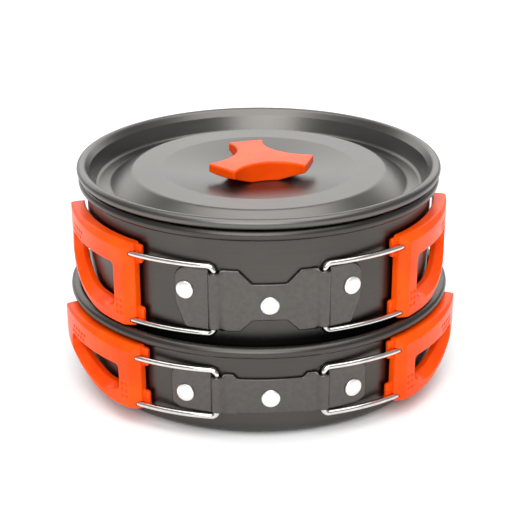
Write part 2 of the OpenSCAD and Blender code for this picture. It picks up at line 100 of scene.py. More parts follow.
# What differs between the vessels: corner radius and leg azimuth; of the bracket the azimuth,
# corner radius and slanted edge (width, height) of its tabs, and its waist (half width, depth
# from the top, depth from below); of the grip the level length and the rise of its underside
VESSELS = {
    "pot": {
        "corner_r": 8.0, "leg_a": math.radians(18.6),
        "tab_a": math.radians(29.2), "tab_r": 5.0, "slant": (3.4, 9.5), "waist": (6.2, 5.2, 4.7),
        "flat": 28.0, "rise": 14.5,
    },
    "pan": {
        "corner_r": 6.0, "leg_a": math.radians(17.0),
        "tab_a": math.radians(29.0), "tab_r": 3.0, "slant": (3.0, 2.0), "waist": (12.0, 1.8, 0.7),
        "flat": 18.0, "rise": 12.0,
    },
}


# ---------------------------------------------------------------- measures from the frame

def polar_box(node):
    """Lowest and highest (radius, azimuth, height) of a CAD node, in millimetres and radians."""
    co = np.array([v.co[:] for v in NODES[node].data.vertices]) / MM
    polar = np.column_stack([np.hypot(co[:, 0], co[:, 1]), np.arctan2(co[:, 0], -co[:, 1]), co[:, 2]])
    return polar.min(0), polar.max(0)


def hinge_xy(vessel):
    """The hinge axis of the right-hand handle, seen from above."""
    pos = JOINTS[vessel + "_right_swing"]["pos_m"]
    return np.array(pos[:2]) / MM


def wall_r(vessel):
    """Outside radius of the wall of a vessel, below its rim."""
    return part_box(vessel + "_shell")[1].x / MM - 2 * RIM_R + SHEET


# ---------------------------------------------------------------- outlines

def polar(r, a):
    return np.array([r * math.sin(a), -r * math.cos(a)])


def arc(centre, r, a0, a1, steps):
    """Points of an arc of radius r, from angle a0 to a1."""
    angles = np.linspace(a0, a1, steps + 1)
    return [centre + r * np.array([math.cos(a), math.sin(a)]) for a in angles]


def rounded(path, steps=8, closed=False):
    """A path of (x, y, corner radius) with its corners rounded.

    A point just before and after each arc keeps the flats on both sides evenly shaded.
    """
    out, n = [], len(path)
    for i, (x, y, r) in enumerate(path):
        p = np.array([x, y], float)
        if r == 0 or (not closed and i in (0, n - 1)):
            out.append(p)
            continue
        a = np.array(path[i - 1][:2], float) - p
        b = np.array(path[(i + 1) % n][:2], float) - p
        a, b = a / np.linalg.norm(a), b / np.linalg.norm(b)
        half = math.acos(max(-1.0, min(1.0, float(a @ b)))) / 2
        centre = p + (a + b) / np.linalg.norm(a + b) * r / math.sin(half)
        start, end = p + a * r / math.tan(half), p + b * r / math.tan(half)
        a0 = math.atan2(*(start - centre)[::-1])
        sweep = math.atan2(*(end - centre)[::-1]) - a0
        sweep = (sweep + math.pi) % (2 * math.pi) - math.pi
        support = min(0.12 * r, 0.3)
        out += [start + a * support, *arc(centre, r, a0, a0 + sweep, steps), end + b * support]
    return out


def offset(path, d):
    """The path moved by d to its right."""
    path = np.array(path)
    step = np.diff(path, axis=0)
    step /= np.linalg.norm(step, axis=1)[:, None]
    along = np.vstack([step[:1], step[1:] + step[:-1], step[-1:]])
    along /= np.linalg.norm(along, axis=1)[:, None]
    return path + d * np.column_stack([along[:, 1], -along[:, 0]])


# ---------------------------------------------------------------- meshes

def new_piece(name, verts, faces, material, body, slot):
    """A closed smooth mesh from millimetre points, which rides on body and replaces a CAD node."""
    mesh = bpy.data.meshes.new(name + "_mesh")
    mesh.from_pydata((np.asarray(verts) * MM).tolist(), [], [list(map(int, f)) for f in faces])
    shape = bmesh.new()
    shape.from_mesh(mesh)
    bmesh.ops.remove_doubles(shape, verts=shape.verts, dist=1e-7)
    bmesh.ops.recalc_face_normals(shape, faces=shape.faces)
    shape.to_mesh(mesh)
    shape.free()
    mesh.shade_smooth()
    mesh.materials.append(material)
    piece = bpy.data.objects.new(name + "_visual", mesh)
    bpy.context.scene.collection.objects.link(piece)
    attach(piece, body)
    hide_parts(name)
    return piece


def lathe(profile, segments=256):
    """The closed surface swept by a profile of (radius, height) that starts and ends on the axis."""
    inner = np.array(profile[1:-1])
    turn = np.linspace(0, 2 * math.pi, segments, endpoint=False)
    rings = [np.column_stack([r * np.sin(turn), -r * np.cos(turn), np.full(segments, z)])
             for r, z in inner]
    verts = np.vstack([[[0, 0, profile[0][1]]], *rings, [[0, 0, profile[-1][1]]]])
    last = len(verts) - 1
    faces = []
    for j in range(segments):
        k = (j + 1) % segments
        faces.append((0, 1 + k, 1 + j))
        for i in range(len(inner) - 1):
            row, above = 1 + i * segments, 1 + (i + 1) * segments
            faces.append((row + j, row + k, above + k, above + j))
        faces.append((last - segments + j, last - segments + k, last))
    return verts, faces


def tube(path, radius, sides=24):
    """A round bar along a path, with domed ends."""
    path = np.array(path, float)
    along = np.gradient(path, axis=0)
    along /= np.linalg.norm(along, axis=1)[:, None]
    side = np.cross(along[0], [0.3, 0.5, 0.8])
    side /= np.linalg.norm(side)
    turn = np.linspace(0, 2 * math.pi, sides, endpoint=False)
    rings = []
    for p, d in zip(path, along):
        side = side - d * (side @ d)
        side /= np.linalg.norm(side)
        up = np.cross(d, side)
        rings.append(p + radius * (np.outer(np.cos(turn), side) + np.outer(np.sin(turn), up)))
    # A smaller ring past each end breaks its edge
    bevel = 0.2 * radius
    for end, d in ((0, -along[0]), (-1, along[-1])):
        small = path[end] + (rings[end] - path[end]) * (1 - bevel / radius) + d * bevel
        rings.insert(0, small) if end == 0 else rings.append(small)
    verts = np.vstack(rings)
    faces = [tuple(range(sides))[::-1], tuple(range(len(verts) - sides, len(verts)))]
    for i in range(len(rings) - 1):
        for j in range(sides):
            k = (j + 1) % sides
            faces.append((i * sides + j, i * sides + k, (i + 1) * sides + k, (i + 1) * sides + j))
    return verts, faces


def grid(low, high, step):
    """Open coordinate arrays of a box of points, which broadcast against each other."""
    axes = [np.arange(a - 2 * step, b + 2 * step, step) for a, b in zip(low, high)]
    return np.meshgrid(*axes, indexing="ij", sparse=True)


def surface_net(field, coords, refine=2):
    """The closed mesh where a distance field is zero, one corner in each cell that it crosses."""
    origin = np.array([c.ravel()[0] for c in coords])
    step = float(coords[0].ravel()[1] - coords[0].ravel()[0])
    field = np.broadcast_to(field, [c.size for c in coords])
    cells = [n - 1 for n in field.shape]
    total, count = np.zeros((*cells, 3)), np.zeros(cells)
    for axis in range(3):
        near = np.moveaxis(field, axis, 0)
        a, b = near[:-1], near[1:]
        crossed = (a < 0) != (b < 0)
        t = np.where(crossed, a / np.where(crossed, a - b, 1), 0)
        for u in (0, 1):
            for v in (0, 1):
                along_u = slice(u, u + crossed.shape[1] - 1)
                along_v = slice(v, v + crossed.shape[2] - 1)
                hit = crossed[:, along_u, along_v]
                # Where the edge crosses the surface: a part of the way along it, at u and v across
                place = [float(u), float(v)]
                place.insert(axis, t[:, along_u, along_v])
                for d in range(3):
                    total[..., d] += np.moveaxis(np.where(hit, place[d], 0), 0, axis)
                count += np.moveaxis(hit, 0, axis)
    used = count > 0
    number = np.full(cells, -1)
    number[used] = np.arange(used.sum())
    verts = origin + step * (np.argwhere(used) + total[used] / count[used][:, None])
    faces = []
    for axis in range(3):
        near, cell = np.moveaxis(field, axis, 0), np.moveaxis(number, axis, 0)
        inside = near[:-1, 1:-1, 1:-1] < 0
        beyond = near[1:, 1:-1, 1:-1] < 0
        around = np.stack([cell[:, :-1, :-1], cell[:, 1:, :-1], cell[:, 1:, 1:], cell[:, :-1, 1:]], -1)
        flip = axis == 1
        faces.append(around[inside & ~beyond][:, ::-1 if flip else 1])
        faces.append(around[~inside & beyond][:, ::1 if flip else -1])
    for _ in range(refine):
        verts = verts - nudge(field, origin, step, verts)
    return verts, np.vstack(faces)


def nudge(field, origin, step, verts):
    """The vector from the zero of the field to each point, from the eight values round the point."""
    place = (verts - origin) / step
    cell = np.clip(place.astype(int), 0, np.array(field.shape) - 2)
    t = np.clip(place - cell, 0, 1)
    value, slope = np.zeros(len(verts)), np.zeros((len(verts), 3))
    for corner in np.ndindex(2, 2, 2):
        c = np.array(corner)
        sample = field[tuple((cell + c).T)]
        weight = np.where(c, t, 1 - t)
        value += sample * weight.prod(1)
        for d in range(3):
            others = np.delete(weight, d, 1).prod(1)
            slope[:, d] += sample * others * (1 if c[d] else -1)
    slope /= step
    size = np.maximum((slope ** 2).sum(1), 0.25)
    move = (value / size)[:, None] * slope
    return np.clip(move, -0.5 * step, 0.5 * step)


# ---------------------------------------------------------------- distance fields

def meet(a, b, r):
    """What is inside both a and b, with the edge where they meet rounded to radius r."""
    return np.minimum(np.maximum(a, b), -r) + np.hypot(np.maximum(a + r, 0), np.maximum(b + r, 0))


def between(x, low, high):
    """Distance to the slab between low and high."""
    return np.maximum(low - x, x - high)


def smooth(x, low, high):
    """0 below low, 1 above high, and an even ramp between."""
    t = np.clip((x - low) / (high - low), 0, 1)
    return t * t * (3 - 2 * t)


def outline_distance(x, y, outline):
    """Signed distance of points to a closed outline, negative inside."""
    shape = np.broadcast(x, y).shape
    best = np.full(shape, np.inf)
    inside = np.zeros(shape, bool)
    for (ax, ay), (bx, by) in zip(outline, np.roll(outline, -1, axis=0)):
        ex, ey = bx - ax, by - ay
        size = ex * ex + ey * ey
        if size < 1e-12:
            continue
        t = np.clip(((x - ax) * ex + (y - ay) * ey) / size, 0, 1)
        best = np.minimum(best, np.hypot(x - ax - t * ex, y - ay - t * ey))
        level = (ay > y) != (by > y)
        inside ^= level & (x < (y - ay) * ex / (ey if ey else 1) + ax)
    return np.where(inside, -best, best)


# ---------------------------------------------------------------- node materials

class Shader:
    """A node material with a Principled BSDF, and short ways to add the nodes that feed it."""

    def __init__(self, name):
        self.material = bpy.data.materials.new(name)
        self.material.use_nodes = True
        self.tree = self.material.node_tree
        self.bsdf = self.tree.nodes["Principled BSDF"]
        self.place = self.add("ShaderNodeTexCoord").outputs["Object"]

    def add(self, kind, inputs=(), **settings):
        node = self.tree.nodes.new(kind)
        for key, value in settings.items():
            setattr(node, key, value)
        for key, value in dict(inputs).items():
            self.feed(node.inputs[key], value)
        return node

    def feed(self, socket, value):
        if isinstance(value, bpy.types.NodeSocket):
            self.tree.links.new(value, socket)
        else:
            socket.default_value = value

    def set(self, **values):
        for key, value in values.items():
            self.feed(self.bsdf.inputs[key.replace("_", " ")], value)

    def noise(self, vector, scale, detail=2.0, rough=0.5):
        inputs = {"Vector": vector, "Scale": scale, "Detail": detail, "Roughness": rough}
        return self.add("ShaderNodeTexNoise", inputs).outputs["Fac"]

    def ramp(self, value, low, high, out_low=0.0, out_high=1.0):
        inputs = {"Value": value, "From Min": low, "From Max": high,
                  "To Min": out_low, "To Max": out_high}
        return self.add("ShaderNodeMapRange", inputs).outputs["Result"]

    def math(self, operation, a, b=0.0):
        return self.add("ShaderNodeMath", {0: a, 1: b}, operation=operation).outputs[0]

    def mix(self, factor, a, b):
        node = self.add("ShaderNodeMix", data_type="RGBA")
        for index, value in ((0, factor), (6, a), (7, b)):
            self.feed(node.inputs[index], value)
        return node.outputs[2]

    def turned(self):
        """A vector that hardly changes round the axis: radius, height and a trace of azimuth."""
        parts = self.add("ShaderNodeSeparateXYZ", {0: self.place})
        flat = self.add("ShaderNodeCombineXYZ", {"X": parts.outputs["X"], "Y": parts.outputs["Y"]})
        length = self.add("ShaderNodeVectorMath", {0: flat.outputs[0]}, operation="LENGTH")
        radius = length.outputs["Value"]
        turn = self.math("ARCTAN2", parts.outputs["X"], parts.outputs["Y"])
        trace = self.math("MULTIPLY", turn, 0.0006)
        vector = {"X": radius, "Y": parts.outputs["Z"], "Z": trace}
        return self.add("ShaderNodeCombineXYZ", vector).outputs[0]

    def bump(self, height, distance, strength=1.0, under=None):
        inputs = {"Height": height, "Distance": distance, "Strength": strength}
        if under is not None:
            inputs["Normal"] = under
        return self.add("ShaderNodeBump", inputs).outputs["Normal"]


def turned_metal(name, dark, light, rough, lines):
    """Satin anodised sheet with the fine rings that spinning leaves, and a faint cloudiness."""
    s = Shader(name)
    ring = s.turned()
    fine = s.noise(ring, 5200.0, 3.0, 0.6)
    broad = s.noise(ring, 420.0, 2.0, 0.5)
    cloud = s.noise(s.place, 26.0, 3.0, 0.5)
    grain = s.noise(s.place, 4200.0, 2.0, 0.6)
    tone = s.math("ADD", s.math("MULTIPLY", cloud, 0.5), s.math("MULTIPLY", fine, 0.5))
    s.set(Base_Color=s.mix(s.ramp(tone, 0.36, 0.64), (*dark, 1), (*light, 1)), Metallic=1.0)
    marks = s.math("ADD", s.math("MULTIPLY", fine, 0.6), s.math("MULTIPLY", grain, 0.4))
    s.set(Roughness=s.ramp(marks, 0.3, 0.7, rough - 0.04, rough + 0.06))
    first = s.bump(s.math("ADD", fine, s.math("MULTIPLY", broad, 0.6)), lines * MM)
    s.set(Normal=s.bump(grain, 0.003 * MM, under=first))
    return s.material


def moulded_plastic():
    """Orange nylon: fine spark-eroded grain, slight mottling, and light that soaks in a little."""
    s = Shader("orange_plastic")
    grain = s.noise(s.place, 5200.0, 3.0, 0.6)
    flow = s.noise(s.place, 90.0, 3.0, 0.5)
    s.set(Base_Color=s.mix(s.ramp(flow, 0.35, 0.65), (0.88, 0.062, 0.0, 1), (0.96, 0.085, 0.0, 1)))
    s.set(Roughness=s.ramp(grain, 0.3, 0.7, 0.26, 0.36), Specular_IOR_Level=0.16)
    s.set(Subsurface_Weight=0.03, Subsurface_Radius=(1.0, 0.3, 0.1), Subsurface_Scale=1.0 * MM)
    s.set(Normal=s.bump(grain, 0.012 * MM))
    return s.material


def drawn_metal(name, dark, light, rough, scale, depth):
    """Bright metal with short tool marks and small scuffs."""
    s = Shader(name)
    marks = s.noise(s.place, scale, 3.0, 0.65)
    scuff = s.noise(s.place, scale * 0.12, 2.0, 0.6)
    s.set(Base_Color=s.mix(s.ramp(scuff, 0.35, 0.7), (*light, 1), (*dark, 1)), Metallic=1.0)
    s.set(Roughness=s.ramp(marks, 0.3, 0.7, rough * 0.8, rough * 1.3))
    s.set(Normal=s.bump(marks, depth * MM))
    return s.material


ANODISED = turned_metal("anodised_aluminium", (0.074, 0.069, 0.063), (0.09, 0.084, 0.077), 0.32, 0.0012)
# The lid's metal is a lighter copy of the walls' anodised aluminium. Its lighter base colour is painted light
# for the upward-facing lid, which catches the lamps.
LIT_LID_METAL = turned_metal("anodised_lid_painted_light", (0.13, 0.124, 0.116), (0.15, 0.143, 0.134), 0.33, 0.001)
PLATE = drawn_metal("anodised_plate", (0.1, 0.094, 0.087), (0.115, 0.108, 0.1), 0.3, 4200.0, 0.002)
ORANGE = moulded_plastic()
STEEL = drawn_metal("wire_steel", (0.62, 0.60, 0.57), (0.74, 0.72, 0.69), 0.1, 3000.0, 0.001)
RIVET = drawn_metal("rivet_aluminium", (0.78, 0.78, 0.77), (0.9, 0.9, 0.89), 0.38, 1400.0, 0.03)
SCREW = drawn_metal("screw_steel", (0.45, 0.45, 0.44), (0.62, 0.61, 0.6), 0.25, 2000.0, 0.004)
BRASS = drawn_metal("insert_brass", (0.6, 0.42, 0.16), (0.78, 0.58, 0.26), 0.28, 2000.0, 0.004)


# ---------------------------------------------------------------- shells and lid

def vessel_shell(vessel):
    """The wall and base of a vessel, with its edge rolled outwards into a bead."""
    low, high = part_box(vessel + "_shell")
    z0, top = low.z / MM, high.z / MM
    out_r = wall_r(vessel)
    in_r = out_r - SHEET
    rim = np.array([in_r + RIM_R, top - RIM_R])
    corner = VESSELS[vessel]["corner_r"]
    inside = rounded([(0, z0 + SHEET, 0), (in_r, z0 + SHEET, corner - SHEET), (*(rim - [RIM_R, 0]), 0)], 12)
    # The bead curls from the inner wall over the top and back down to the outer wall
    tuck = math.acos((out_r - rim[0]) / RIM_R)
    bead = arc(rim, RIM_R, math.pi, -tuck, 30)[1:]
    outside = rounded([(out_r, bead[-1][1] - 0.4, 0), (out_r, z0, corner), (0, z0, 0)], 12)
    return lathe([*inside, *bead, *outside])


def lid_profile():
    """The lid from the axis out over its upper side, round its edge and back underneath."""
    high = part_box("lid_shell")[1]
    edge_r, top = high.x / MM, high.z / MM
    neck = wall_r("pot") - SHEET - LID_GAP
    groove_z = top - LID_GROOVE_DEPTH
    ring_z = top - LID_RING_DEPTH
    dish_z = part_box("lid_knob")[0].z / MM - LAP
    groove_r = neck - LID_LEAN
    skirt_r = groove_r - LID_GROOVE_W
    neck_z = top - LID_ROLL - 0.9
    bead = np.array([edge_r - LID_ROLL, top - LID_ROLL])
    join = bead + LID_ROLL * np.array([math.cos(LID_EDGE_A), math.sin(LID_EDGE_A)])
    path = rounded([
        (0, dish_z, 0), (LID_SEAT_R, dish_z, 30), (LID_DISH_R, ring_z, 6), (skirt_r - LID_SKIRT_W, ring_z, 3),
        (skirt_r, groove_z, 2), (groove_r, groove_z, 1.6), (neck - 0.1, neck_z, 1.2), (*join, 0)], 10)
    # The underside starts where it leaves the edge, and ends on the axis
    under = [p for p in offset(path, LID_SHEET)[::-1] if np.linalg.norm(p - bead) > LID_ROLL + 0.05]
    under[-1] = np.array([0.0, dish_z - LID_SHEET])
    first = under[0] - bead
    last_a = math.atan2(first[1], first[0]) % (2 * math.pi) - 2 * math.pi
    edge = arc(bead, LID_ROLL, LID_EDGE_A, last_a, 36)
    return [*path, *edge[1:], *under]


# ---------------------------------------------------------------- rivets

def rivet_profile(start, end):
    """A rivet seen from the side: (radius, distance from the axis of the vessel)."""
    head_r, head_h, crown = 3.6, 1.1, 0.45
    inner_r, inner_h, inner_edge = 3.2, 1.0, 0.3
    shank_r = 1.8
    outer = rounded([(0, end, 0), (head_r * 0.62, end - crown * 0.35, 4),
                     (head_r - 0.15, end - crown, 0.5), (head_r, end - head_h, 0.15),
                     (shank_r, end - head_h, 0)], 6)
    inner = rounded([(shank_r, start + inner_h, 0), (inner_r, start + inner_h, 0.1),
                     (inner_r, start + inner_edge, 0.4), (0, start, 0)], 6)
    return [*outer, *inner]


def rivet(vessel, which):
    """One rivet, on the wall where the CAD has it."""
    node = "%s_rivet_%s" % (vessel, which)
    low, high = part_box(node)
    centre = (low + high) / 2 / MM
    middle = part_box(vessel + "_rivet_centre")
    start, end = -middle[1].y / MM, -middle[0].y / MM
    verts, faces = lathe(rivet_profile(start, end), 48)
    turn = math.atan2(centre.x, -centre.y)
    # The lathe's own axis turns from upright to pointing out of the wall
    x, out, up = verts[:, 0], verts[:, 2], verts[:, 1]
    verts = np.column_stack([x * math.cos(turn) + out * math.sin(turn),
                             x * math.sin(turn) - out * math.cos(turn), up + centre.z])
    return new_piece(node, verts, faces, RIVET, vessel, "rivet_aluminium")


# ---------------------------------------------------------------- handles

def leg_arc(vessel):
    """Centre, radius and end angles of the wire leg that runs from the hinge into the grip."""
    wall = wall_r(vessel)
    grip_low, grip_high = polar_box(vessel + "_right_grip")
    grip_a = grip_low[1] + EAR_L / grip_high[0]
    start = polar(wall + WIRE_R + LEG_GAP, VESSELS[vessel]["leg_a"])
    end = polar((grip_low[0] + grip_high[0]) / 2, grip_a)
    bow_r = wall + LEG_BOW
    chord = end - start
    half = np.linalg.norm(chord) / 2
    normal = np.array([-chord[1], chord[0]]) / (2 * half)
    centre = (start + end) / 2 + normal * math.sqrt(bow_r ** 2 - half ** 2)
    a0 = math.atan2(*(start - centre)[::-1])
    a1 = math.atan2(*(end - centre)[::-1]) + (BAR_HALF - BEND_R) / bow_r
    return centre, bow_r, a0, a1


def wire_path(vessel):
    """The centreline of the right-hand wire, from one stub in the knuckle round to the other."""
    centre, bow_r, a0, a1 = leg_arc(vessel)
    low, high = polar_box(vessel + "_right_wire")
    z0, z1 = low[2] + WIRE_R, high[2] - WIRE_R
    start, end = arc(centre, bow_r, a0, a1, 1)
    out0 = np.array([-math.sin(a0), math.cos(a0)])
    out1 = np.array([-math.sin(a1), math.cos(a1)])
    hinge = start - BEND_R * out0

    def bend(p, out, z, way, enter):
        """A quarter bend at z between the vertical through p and the leg."""
        turn = np.linspace(0, math.pi / 2, 9)
        reach = BEND_R * (1 - np.cos(turn))
        rise = BEND_R * (1 - np.sin(turn))
        points = [(*(p + out * a), z + way * b) for a, b in zip(reach, rise)]
        return points if enter else points[::-1]

    leg = arc(centre, bow_r, a0, a1, 30)[1:-1]
    lower = [(x, y, z0) for x, y in leg]
    upper = [(x, y, z1) for x, y in leg[::-1]]
    stub = 8.0
    far = end + BEND_R * out1
    path = [(*hinge, z0 + BEND_R + stub), (*hinge, z0 + BEND_R + 0.5 * stub)]
    path += bend(hinge, out0, z0, 1, True) + lower + bend(far, -out1, z0, 1, False)
    path += [(*far, (z0 + z1) / 2)]
    path += bend(far, -out1, z1, -1, True) + upper + bend(hinge, out0, z1, -1, False)
    path += [(*hinge, z1 - BEND_R - 0.5 * stub), (*hinge, z1 - BEND_R - stub)]
    return path


def half_plate(vessel, z0, z1):
    """Outline of half a bracket, from its lower waist corner round the tab to its upper one."""
    v = VESSELS[vessel]
    waist_x, up, low = v["waist"]
    slant_x, slant_z = v["slant"]
    waist_r, low_r, side_r = 1.0, 1.5, 2.0
    x = (wall_r(vessel) + LAP + SHEET) * math.sin(v["tab_a"])
    return [(waist_x, z0 + low, waist_r), (waist_x + low, z0, waist_r),
            (x - slant_x, z0, low_r), (x, z0 + slant_z, side_r),
            (x, z1, v["tab_r"]), (waist_x + up, z1, waist_r), (waist_x, z1 - up, waist_r)]


def bracket(vessel, step=0.3):
    """The riveted plate on the wall, with its ends rolled into knuckles round the wires."""
    low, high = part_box(vessel + "_bracket")
    z0, z1 = low.z / MM, high.z / MM
    wire_low, wire_high = polar_box(vessel + "_right_wire")
    knuckle = (wire_low[2] + WIRE_R + BEND_R + LAP, wire_high[2] - WIRE_R - BEND_R - LAP)
    kx, ky = hinge_xy(vessel)
    in_r = wall_r(vessel) + LAP
    bore_r = WIRE_R + WIRE_GAP
    edge_r = 0.3
    x, y, z = grid((0, low.y / MM, z0), (high.x / MM, high.y / MM, z1), step)
    # Only the right half is worked out; the left half is its mirror image
    x = np.abs(np.arange(-x.size, x.size + 1) * step).reshape(-1, 1, 1)
    half = half_plate(vessel, z0, z1)
    outline = rounded([*half, *[(-a, b, c) for a, b, c in half[::-1]]], 6, closed=True)
    r = np.hypot(x, y)
    plate = meet(outline_distance(x, z, np.array(outline)), between(r, in_r, in_r + SHEET), edge_r)
    axis = np.hypot(x - kx, y - ky)
    roll = meet(axis - bore_r - SHEET, between(z, *knuckle), edge_r)
    relief = np.maximum(axis - (WIRE_R + BEND_R / 2), -between(z, *knuckle))
    # The slot runs from the bore towards the axis of the vessel
    knuckle_a = math.atan2(kx, -ky)
    slot_x = (x - kx) * math.cos(knuckle_a) + (y - ky) * math.sin(knuckle_a)
    inward = (x - kx) * -kx / math.hypot(kx, ky) + (y - ky) * -ky / math.hypot(kx, ky)
    slot = np.maximum(np.abs(slot_x) - bore_r, between(inward, 0, 2 * bore_r))
    # The sheet swells gently into the knuckle from the middle and ends in a crease beyond it
    swell = 2.6
    blend = 0.01 + swell * smooth(knuckle_a - np.arctan2(x, -y), 0.0, 0.012)
    overlap = np.maximum(blend - np.abs(plate - roll), 0)
    field = np.minimum(plate, roll) - overlap ** 2 / (4 * blend)
    field = np.maximum(field, between(z, z0, z1))
    for cut in (axis - bore_r, slot, relief):
        field = np.maximum(field, -cut)
    field = np.maximum(field, in_r - r)
    coords = [np.arange(-(x.size // 2), x.size // 2 + 1).reshape(-1, 1, 1) * step, y, z]
    verts, faces = surface_net(field, coords)
    return new_piece(vessel + "_bracket", verts, faces, PLATE, vessel, "anodised_aluminium")


def grip_window(length, height, v):
    """The finger window of a grip, seen from the front: x along the grip, y above its underside."""
    bar_w, end_w, top_w, low_w = 2 * BAR_HALF, 10.0, 9.6, 6.7
    step, least_h, near_r, under_r, far_r, top_r = 4.0, 4.0, 1.4, 30.0, 2.2, 1.8
    right, top = length - end_w, height - top_w
    far_y = v["rise"] * (right - v["flat"]) / (length - v["flat"]) + 0.9 * low_w
    return [(bar_w, low_w, near_r), (v["flat"] + step, low_w, under_r),
            (right, min(far_y, top - least_h), far_r), (right, top, top_r), (bar_w, top, near_r)]


def dimples(length, height, v):
    """Where the grip has its small round dimples, as (x, y) seen from the front."""
    pitch, row_step = 2.6, 2.3
    window = grip_window(length, height, v)
    right, top = window[2][0], window[3][1]
    slope = v["rise"] / (length - v["flat"])
    # Two rows above the window
    spots = [(right - 1.5 - pitch * (i + 0.5 * row), top + 2.0 + row_step * row)
             for i in range(5) for row in range(2)]
    # Two rows that follow the rise of the underside
    for i in range(5):
        x = length - 9.5 - pitch * i
        edge = max(0.0, x - v["flat"]) * slope
        spots += [(x, edge + 2.2 + 0.5 * (i % 2)), (x - 0.5 * pitch, edge + 4.4)]
    # Three pairs low on the bar by the wire
    spots += [(5.6 + row_step * column, 4.5 + pitch * row) for column in range(2) for row in range(3)]
    return spots


def sink(body, coords, centre, radius):
    """Takes a ball out of the field of a body, looking only at the points near the ball."""
    axes = [c.ravel() for c in coords]
    near = [np.flatnonzero(np.abs(axis - c) < DIMPLE_REACH) for axis, c in zip(axes, centre)]
    if min(map(len, near)) == 0:
        return
    cut = np.ix_(*near)
    x, y, z = [axis[i] - c for axis, i, c in zip(axes, near, centre)]
    gap = np.sqrt(x[:, None, None] ** 2 + y[None, :, None] ** 2 + z[None, None, :] ** 2) - radius
    body[cut] = np.maximum(body[cut], -gap)


def grip(vessel, step=0.3):
    """The right-hand grip: a D-shaped frame with bevelled edges, ears behind the wire and dimples."""
    v = VESSELS[vessel]
    low, high = polar_box(vessel + "_right_grip")
    in_r, out_r, z0, z1 = low[0], high[0], low[2], high[2]
    grip_a = low[1] + EAR_L / out_r
    length, height = (high[1] - grip_a) * out_r, z1 - z0
    mid_a = grip_a + length / 2 / out_r
    # Local axes: x along the grip, y away from the wall at its middle, z up
    x, y, z = grid((-EAR_L - 1.5, in_r * math.cos(length / 2 / in_r) - 1, 0), (length, out_r, height), step)
    r = np.hypot(x - length / 2, y)
    s = (np.arctan2(x - length / 2, y) + length / 2 / out_r) * out_r
    depth = r - out_r

    # The outline starts past the inner end, which the length cuts
    past, under_r, far_r, top_r = 3.0, 60.0, 8.0, 3.0
    end_edge, face_edge, bevel_edge = 0.9, 0.3, 0.15
    front = rounded([(-past, 0, 0), (v["flat"], 0, under_r), (length, v["rise"], far_r),
                     (length, height, top_r), (-past, height, 0)], 10, closed=True)
    outline = outline_distance(x, z, np.array(front))
    body = meet(meet(outline, between(s, 0, length), end_edge), between(r, in_r, out_r), face_edge)
    # Long bevel at the end by the wire, and a chamfer along the top that dies away
    bevel_l, bevel_t = 4.0, 2.6
    bevel = ((bevel_l - s) * bevel_t + depth * bevel_l) / math.hypot(bevel_l, bevel_t)
    body = meet(body, bevel, bevel_edge)
    crest_w, crest_loss = 2.4, 0.7
    crest = crest_w * (1 - crest_loss * smooth(s, bevel_l, length))
    body = meet(body, (z - height + depth + crest) / math.sqrt(2), bevel_edge)

    # The window opens out towards the front along its lower and far edges
    window = np.array(grip_window(length, height, v))
    hole = outline_distance(x, z, np.array(rounded(window, 8, closed=True)))
    far = smooth(x, window[0, 0] - 1, window[0, 0] + 9) * smooth(window[4, 1] - z, 0, 7)
    flare_w, flare_least, flare_t = 2.8, 0.35, 3.4
    flare = (flare_least + (flare_w - flare_least) * far) * np.maximum(0, depth + flare_t) / flare_t
    body = np.maximum(body, flare - hole)

    # Ears behind the wire, at the ends of the bar beside it
    ear_h, ear_drop, ear_gap, ear_edge = 7.4, 0.8, 0.1, 0.35
    ear_r = (in_r + out_r) / 2 - WIRE_R - ear_gap
    for ear_z in (0.0, height - ear_h - ear_drop):
        sides = meet(between(s, -EAR_L, 2), between(z, ear_z, ear_z + ear_h), 1.1)
        # A shallow V runs across the middle of each ear
        groove = np.maximum(0, 0.35 - np.abs(z - ear_z - ear_h / 2) * 0.8) * (s < 0.5)
        body = np.minimum(body, meet(sides, between(r, in_r, ear_r) + groove, ear_edge))

    # Where the legs of the wire go in
    centre, bow_r, _, _ = leg_arc(vessel)
    along, out = polar(1, mid_a + math.pi / 2), polar(1, mid_a)
    cx, cy = centre @ along + length / 2, centre @ out
    wire_low, wire_high = polar_box(vessel + "_right_wire")
    mouth_gap, mouth_l = 0.12, 4.2
    for leg_z in (wire_low[2] + WIRE_R - z0, wire_high[2] - WIRE_R - z0):
        bore = np.hypot(np.hypot(x - cx, y - cy) - bow_r, z - leg_z) - WIRE_R - mouth_gap
        body = np.maximum(body, -np.maximum(bore, s - mouth_l))

    # Each dimple is a ball that dips into the front to its depth
    ball_r = (DIMPLE_R ** 2 + DIMPLE_T ** 2) / (2 * DIMPLE_T)
    reach = out_r - DIMPLE_T + ball_r
    for px, pz in dimples(length, height, v):
        turn = (px - length / 2) / out_r
        ball = (length / 2 + reach * math.sin(turn), reach * math.cos(turn), pz)
        sink(body, (x, y, z), ball, ball_r)

    verts, faces = surface_net(body, (x, y, z))
    flat = np.outer(verts[:, 0] - length / 2, along) + np.outer(verts[:, 1], out)
    return np.column_stack([flat, verts[:, 2] + z0]), faces


